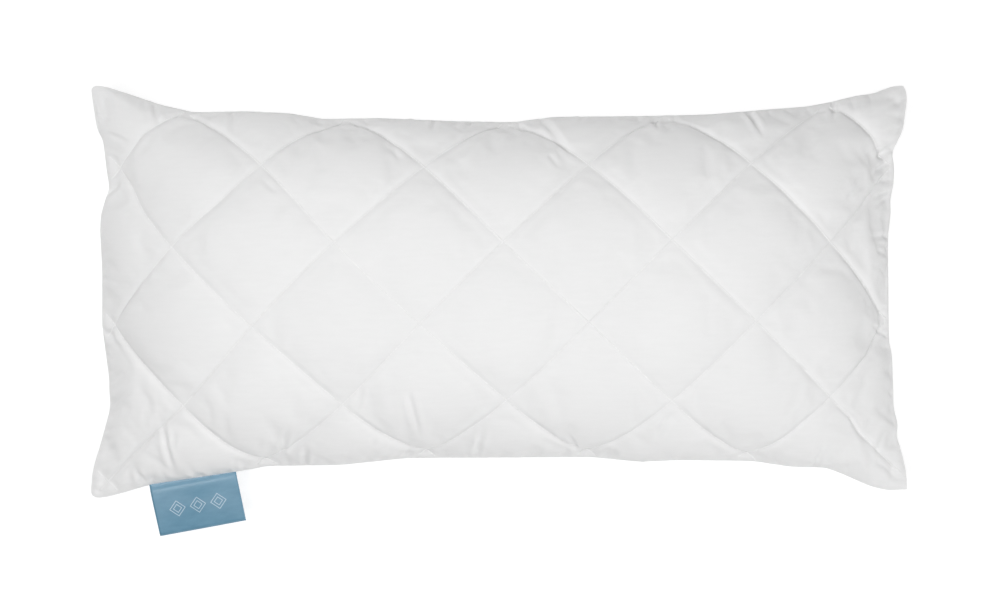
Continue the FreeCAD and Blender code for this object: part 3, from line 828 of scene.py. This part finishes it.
def label_height(place, skew, across, length, front_ply):
    """Height above the hinge: a bend at the seam, a steady fall, waves, curled corners, slack plies."""
    out = max(place, 0)
    share = min(out / length, 1)
    bend = LABEL_BEND * (1 - math.exp(-out / LABEL_BEND_REACH)) - LABEL_SLOPE * out
    bend -= LABEL_DROOP * max(1 - (length - out) / LABEL_DROOP_REACH, 0) ** 2
    wave = LABEL_WAVE * share * math.sin(across / LABEL_WAVE_WIDTH + 1.2 * share)
    curl = LABEL_CURL * share**3 * skew**2
    slack = LABEL_SLACK * math.sin(math.pi * share)
    return bend + wave + curl + (slack if front_ply else -slack)


def label_piece():
    """One strip of satin, folded double at its outer end, with both ends in the seam."""
    hinge, across, out, width, length = label_frame()
    section = label_section(length)
    columns = np.linspace(-width / 2, width / 2, LABEL_COLUMNS)
    points, places = [], []
    run = 0.0
    previous = section[0]
    for place, high in section:
        run += math.dist(previous, (place, high))
        previous = (place, high)
        for c in columns:
            up = high + label_height(place, 2 * c / width, c, length, high > 0)
            points.append(hinge + across * c + out * place + Vector((0, 0, up)))
            places.append((c, place, run))
    index = np.arange(len(points)).reshape(len(section), LABEL_COLUMNS)
    piece = new_piece("satin_label_loop", points, grid_faces(index, False))
    keep_places(piece, places)
    thick = piece.modifiers.new("ply", "SOLIDIFY")
    thick.thickness = LABEL_PLY * MM
    thick.offset = 0
    bpy.context.view_layer.objects.active = piece
    bpy.ops.object.modifier_apply(modifier=thick.name)
    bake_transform(piece)
    return piece, width, run


def label_stitches():
    """The stitches that hold both ends of the label in the seam."""
    hinge, across, out, width, _ = label_frame()
    places = np.arange(-width / 2 + STITCH_PITCH, width / 2 - STITCH_PITCH, STITCH_PITCH)
    starts = np.array([hinge + across * place - out * LABEL_STITCH_INSET for place in places])
    ends = starts + np.array(across) * STITCH_LENGTH
    ups = np.tile([0.0, 0.0, 1.0], (len(places), 1))
    return stitches("label_stitches", starts, ends, ups, LABEL_STITCH_RADIUS)


# ---------------------------------------------------------------- materials
class Nodes:
    """A few short calls for building a procedural material."""

    def __init__(self, name):
        self.material = bpy.data.materials.new(name)
        self.material.use_nodes = True
        self.tree = self.material.node_tree
        self.shader = self.tree.nodes["Principled BSDF"]

    def add(self, kind, **settings):
        node = self.tree.nodes.new("ShaderNode" + kind)
        for key, value in settings.items():
            setattr(node, key, value)
        return node

    def link(self, source, target):
        self.tree.links.new(source, target)

    def value(self, target, value):
        if hasattr(value, "links"):
            self.link(value, target)
        else:
            target.default_value = value

    def math(self, operation, a, b=0.0, c=None):
        node = self.add("Math", operation=operation)
        self.value(node.inputs[0], a)
        self.value(node.inputs[1], b)
        if c is not None:
            self.value(node.inputs[2], c)
        return node.outputs[0]

    def places(self, scale=(1, 1, 1), attribute="cloth_place"):
        if attribute:
            source = self.add("Attribute", attribute_name=attribute).outputs["Vector"]
        else:
            source = self.add("TexCoord").outputs["Object"]
        mapping = self.add("Mapping")
        mapping.inputs["Scale"].default_value = scale
        self.link(source, mapping.inputs["Vector"])
        return mapping.outputs["Vector"]

    def noise(self, vector, scale, detail=2.0, roughness=0.5):
        node = self.add("TexNoise")
        node.inputs["Scale"].default_value = scale
        node.inputs["Detail"].default_value = detail
        node.inputs["Roughness"].default_value = roughness
        self.link(vector, node.inputs["Vector"])
        return node.outputs[0]

    def wave(self, vector, scale, direction, distortion=0.0):
        node = self.add("TexWave", wave_type="BANDS", bands_direction=direction, wave_profile="SIN")
        node.inputs["Scale"].default_value = scale
        node.inputs["Distortion"].default_value = distortion
        self.link(vector, node.inputs["Vector"])
        return node.outputs["Fac"]

    def ramp(self, fac, stops):
        node = self.add("ValToRGB")
        elements = node.color_ramp.elements
        for element, (place, colour) in zip(elements, stops[:2]):
            element.position = place
            element.color = (*colour, 1)
        for place, colour in stops[2:]:
            elements.new(place).color = (*colour, 1)
        self.link(fac, node.inputs["Fac"])
        return node.outputs["Color"]

    def bump(self, height, distance, strength=1.0, normal=None):
        node = self.add("Bump")
        node.inputs["Strength"].default_value = strength
        node.inputs["Distance"].default_value = distance
        self.link(height, node.inputs["Height"])
        if normal is not None:
            self.link(normal, node.inputs["Normal"])
        return node.outputs["Normal"]

    def finish(self, colour, normal, **sockets):
        self.link(colour, self.shader.inputs["Base Color"])
        if normal is not None:
            self.link(normal, self.shader.inputs["Normal"])
        for name, value in sockets.items():
            self.value(self.shader.inputs[name.replace("_", " ")], value)
        return self.material


WAVE_TEXTURE_PERIOD = math.pi / 10  # length of one band of a wave texture at scale 1
THREAD_PITCH = 0.35 * MM  # woven threads of the microfibre
WHITE_DARK = (0.82, 0.82, 0.82)
WHITE_LIGHT = (0.85, 0.85, 0.85)


def weave(nodes, vector, pitch):
    """Height of a plain weave: threads along and across, over and under."""
    scale = WAVE_TEXTURE_PERIOD / pitch
    warp = nodes.wave(vector, scale, "X", 0.4)
    weft = nodes.wave(vector, scale, "Y", 0.4)
    return nodes.math("MAXIMUM", warp, weft)


def white_microfibre():
    """Fine white cloth with faint slubs across it and a soft sheen."""
    n = Nodes("white_microfibre")
    place = n.places()
    slubs = n.noise(n.places((45.0, 260.0, 1.0)), 1.0, 3.0, 0.6)
    cloud = n.noise(place, 9.0, 3.0)
    tone = n.math("MULTIPLY_ADD", slubs, 0.5, n.math("MULTIPLY", cloud, 0.5))
    colour = n.ramp(tone, [(0.3, WHITE_DARK), (0.7, WHITE_LIGHT)])
    fine = n.bump(weave(n, place, THREAD_PITCH), 0.05 * MM, 0.5)
    lines = n.bump(slubs, 0.035 * MM, 1.0, fine)
    wrinkle = n.bump(n.noise(n.places((1, 1.6, 1)), 46.0, 3.0, 0.55), 0.7 * MM, 0.5, lines)
    return n.finish(colour, wrinkle, Roughness=0.82, Sheen_Weight=0.18, Sheen_Roughness=0.5)


def plain_cloth(name, dark, light, pitch, roughness, attribute=None):
    """Other woven cloth: inner case, zip tape."""
    n = Nodes(name)
    place = n.places(attribute=attribute)
    colour = n.ramp(n.noise(place, 60.0, 3.0), [(0.3, dark), (0.7, light)])
    normal = n.bump(weave(n, place, pitch), 0.08 * MM, 0.6)
    return n.finish(colour, normal, Roughness=roughness, Sheen_Weight=0.1)


def fibre_material():
    """Loose siliconised fibre: fine crossing strands."""
    n = Nodes("polyester_fibre")
    place = n.places(attribute=None)
    strands = n.noise(n.places((1.0, 5.0, 2.0), attribute=None), 240.0, 5.0, 0.7)
    colour = n.ramp(strands, [(0.3, (0.78, 0.785, 0.79)), (0.7, (0.88, 0.885, 0.89))])
    normal = n.bump(strands, 0.8 * MM, 0.9, n.bump(n.noise(place, 60.0, 4.0), 2.0 * MM, 0.6))
    return n.finish(colour, normal, Roughness=0.95, Sheen_Weight=0.3)


def thread_material():
    """Twisted sewing thread."""
    n = Nodes("sewing_thread")
    place = n.places((1.0, 1.0, 1.0), attribute=None)
    twist = n.wave(place, 420.0, "DIAGONAL", 1.0)
    colour = n.ramp(twist, [(0.2, (0.84, 0.84, 0.84)), (0.8, (0.93, 0.93, 0.93))])
    return n.finish(colour, n.bump(twist, 0.06 * MM, 0.8), Roughness=0.6, Sheen_Weight=0.1)


def nylon_material():
    """Moulded nylon coil."""
    n = Nodes("zip_nylon")
    place = n.places(attribute=None)
    turns = n.wave(place, 180.0, "Y", 0.2)
    colour = n.ramp(turns, [(0.2, (0.72, 0.72, 0.72)), (0.8, (0.84, 0.84, 0.84))])
    return n.finish(colour, n.bump(turns, 0.3 * MM, 0.9), Roughness=0.42)


def painted_metal():
    """White enamel on the slider, pull and stops, with faint orange peel."""
    n = Nodes("zip_painted_metal")
    place = n.places(attribute=None)
    grain = n.noise(place, 900.0, 2.0)
    colour = n.ramp(grain, [(0.3, (0.78, 0.78, 0.78)), (0.7, (0.83, 0.83, 0.83))])
    return n.finish(colour, n.bump(grain, 0.03 * MM, 0.5), Roughness=0.35, Coat_Weight=0.3)


SATIN_DARK = (0.115, 0.26, 0.37)
SATIN_LIGHT = (0.15, 0.308, 0.428)
SATIN_RIB_SCALE = 250.0
PRINT = (0.5, 0.61, 0.7)
PRINT_LINE = 0.45  # half the width of a printed line
PRINT_CENTRES = (-20.0, 0.0, 20.0)  # places of the diamonds across the label
PRINT_OUT = 24.0  # distance of the diamonds from the hinge
PRINT_SIZES = (4.0, 7.5)
PRINTED_RUN = 55.0  # length of ribbon that is the front ply


def diamond_mask(n, across, along, centre, size):
    """1 inside a diamond outline printed on the label, 0 elsewhere."""
    dx = n.math("ABSOLUTE", n.math("SUBTRACT", across, centre[0] * MM))
    dy = n.math("ABSOLUTE", n.math("SUBTRACT", along, centre[1] * MM))
    far = n.math("ADD", dx, dy)
    line = n.math("ABSOLUTE", n.math("SUBTRACT", far, size * MM))
    return n.math("LESS_THAN", line, PRINT_LINE * MM)


def satin_material():
    """Pale blue satin with fine ribs across it and a printed row of diamonds."""
    n = Nodes("blue_satin")
    place = n.places()
    split = n.add("SeparateXYZ")
    n.link(place, split.inputs[0])
    across, along, run = split.outputs
    ribs = n.wave(place, SATIN_RIB_SCALE, "X", 0.3)
    mottle = n.noise(n.places((60.0, 180.0, 1.0)), 1.0, 4.0, 0.6)
    colour = n.ramp(mottle, [(0.25, SATIN_DARK), (0.75, SATIN_LIGHT)])
    mask = 0.0
    for centre in PRINT_CENTRES:
        for size in PRINT_SIZES:
            outline = diamond_mask(n, across, along, (centre, PRINT_OUT), size)
            mask = n.math("MAXIMUM", mask, outline)
    mask = n.math("MULTIPLY", mask, n.math("LESS_THAN", run, PRINTED_RUN * MM))
    mix = n.add("Mix", data_type="RGBA")
    n.link(mask, mix.inputs["Factor"])
    n.link(colour, mix.inputs["A"])
    mix.inputs["B"].default_value = (*PRINT, 1)
    normal = n.bump(ribs, 0.05 * MM, 0.4, n.bump(mottle, 0.3 * MM, 0.3))
    return n.finish(
        mix.outputs["Result"], normal, Roughness=0.4, Anisotropic=0.5, Sheen_Weight=0.05,
        Specular_IOR_Level=0.6,
    )


def paint(piece, material):
    piece.data.materials.clear()
    piece.data.materials.append(material)


# ---------------------------------------------------------------- build
cloth = Cloth(GRID_STEP)
cover, front_surface, back_surface = quilted_cover(cloth, Gathers())
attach(cover, "pillow")
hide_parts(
    "front_outer_fabric", "front_wadding", "front_lining", "back_outer_fabric",
    "back_wadding", "back_lining", "zip_facing_front", "zip_facing_back",
)

thread = thread_material()
for side, surface, name in ((FRONT, front_surface, "front"), (BACK, back_surface, "back")):
    row = quilt_stitches(cloth, surface, side, name + "_quilting_stitches")
    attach(row, "pillow")
    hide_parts(name + "_quilting_thread")
    paint(row, thread)
seam = seam_stitches(cloth)
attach(seam, "pillow")
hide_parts("edge_seam_thread")
paint(seam, thread)

case_room = (COVER_HIGH - CASE_HIGH) / MM
case_depth = case_room.z + CASE_CLEARANCE
case = inner_piece("inner_case", case_depth, case_room.x, CASE_SIDE_ROOM, CASE_LUMPS)
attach(case, "pillow")
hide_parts("front_inner_case", "back_inner_case", "inner_case_seam_thread")
filling_room = (COVER_HIGH - FILLING_HIGH) / MM
filling = inner_piece(
    "filling_fibres", filling_room.z + FILLING_CLEARANCE, filling_room.x + FILLING_END_ROOM,
    FILLING_SIDE_ROOM, FILLING_LUMPS,
)
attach(filling, "pillow")
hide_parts("fibre_filling")

label, label_width, label_run = label_piece()
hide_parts("satin_label", "label_tail")

label_row = label_stitches()
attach(label_row, "pillow")
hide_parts("label_stitching")
paint(label_row, thread)

paint(cover, white_microfibre())
paint(case, plain_cloth("inner_case_cloth", (0.8, 0.8, 0.8), (0.86, 0.86, 0.86), 0.5 * MM, 0.9))
paint(filling, fibre_material())
paint(label, satin_material())
tape = plain_cloth("woven_zip_tape", (0.74, 0.74, 0.745), (0.82, 0.82, 0.825), 0.4 * MM, 0.8)
nylon = nylon_material()
metal = painted_metal()
CARRIED_OVER = {
    "zip_tape_front": tape, "zip_tape_back": tape, "zip_stitching_front": thread,
    "zip_stitching_back": thread, "zip_coil_front": nylon, "zip_coil_back": nylon,
    "zip_top_stops": metal, "zip_bottom_stop": metal, "zip_slider": metal, "zip_pull": metal,
}
for node, material in CARRIED_OVER.items():
    paint(frame["nodes"][node], material)

# ---------------------------------------------------------------- stage, light and camera
FLOOR_HALF = 4.0
FLOOR_DROP = 0.0005  # just under the pillow
FLOOR_EMISSION = 0.63
WORLD_STRENGTH = 0.2
LENS = 80
SENSOR_WIDTH = 36
WIDTH_SEEN = 0.96  # metres across the picture at the height of the seam
PICTURE_CENTRE = (0.001, -0.0077)


def floor():
    """A pale floor that glows a little, so that it photographs as a white background."""
    mesh = bpy.data.meshes.new("floor")
    corners = [(-1, -1), (1, -1), (1, 1), (-1, 1)]
    points = [(x * FLOOR_HALF, y * FLOOR_HALF, -FLOOR_DROP) for x, y in corners]
    mesh.from_pydata(points, [], [(0, 1, 2, 3)])
    piece = bpy.data.objects.new("floor", mesh)
    bpy.context.scene.collection.objects.link(piece)
    n = Nodes("pale_floor")
    n.shader.inputs["Base Color"].default_value = (0.5, 0.5, 0.5, 1)
    n.shader.inputs["Roughness"].default_value = 1.0
    n.shader.inputs["Emission Color"].default_value = (1, 1, 1, 1)
    n.shader.inputs["Emission Strength"].default_value = FLOOR_EMISSION
    piece.data.materials.append(n.material)


def area_light(name, place, size, power, target=(0, 0, 0.06)):
    """A rectangular lamp aimed at the pillow."""
    light = bpy.data.lights.new(name, "AREA")
    light.shape = "RECTANGLE"
    light.size, light.size_y = size
    light.energy = power
    lamp = bpy.data.objects.new(name, light)
    lamp.location = place
    aim = Vector(target) - Vector(place)
    lamp.rotation_mode = "QUATERNION"
    lamp.rotation_quaternion = aim.to_track_quat("-Z", "Y")
    bpy.context.scene.collection.objects.link(lamp)


def camera():
    """Looks straight down on the pillow."""
    data = bpy.data.cameras.new("camera")
    data.lens = LENS
    data.sensor_width = SENSOR_WIDTH
    eye = bpy.data.objects.new("camera", data)
    eye.location = (*PICTURE_CENTRE, SEAM_Z * MM + WIDTH_SEEN * LENS / SENSOR_WIDTH)
    eye.rotation_euler = (0, 0, 0)
    bpy.context.scene.collection.objects.link(eye)
    bpy.context.scene.camera = eye


def studio_world():
    """Even white light from all round."""
    world = bpy.data.worlds.new("studio")
    world.use_nodes = True
    background = world.node_tree.nodes["Background"]
    background.inputs["Color"].default_value = (1, 1, 1, 1)
    background.inputs["Strength"].default_value = WORLD_STRENGTH
    bpy.context.scene.world = world


floor()
area_light("overhead_softbox", (0, 0, 1.9), (1.6, 1.2), 19.0)
area_light("upper_left_lamp", (-0.5, -0.4, 2.1), (0.4, 0.4), 9.0)
area_light("right_softbox", (1.9, 0, 1.0), (0.9, 1.4), 1.5)
area_light("near_right_lamp", (1.5, -1.2, 0.9), (0.8, 0.8), 7.4)
area_light("far_left_lamp", (-1.5, 1.2, 0.9), (0.8, 0.8), 5.8)
camera()
studio_world()
bpy.context.scene.view_settings.view_transform = "Standard"
bpy.context.scene.view_settings.look = "None"
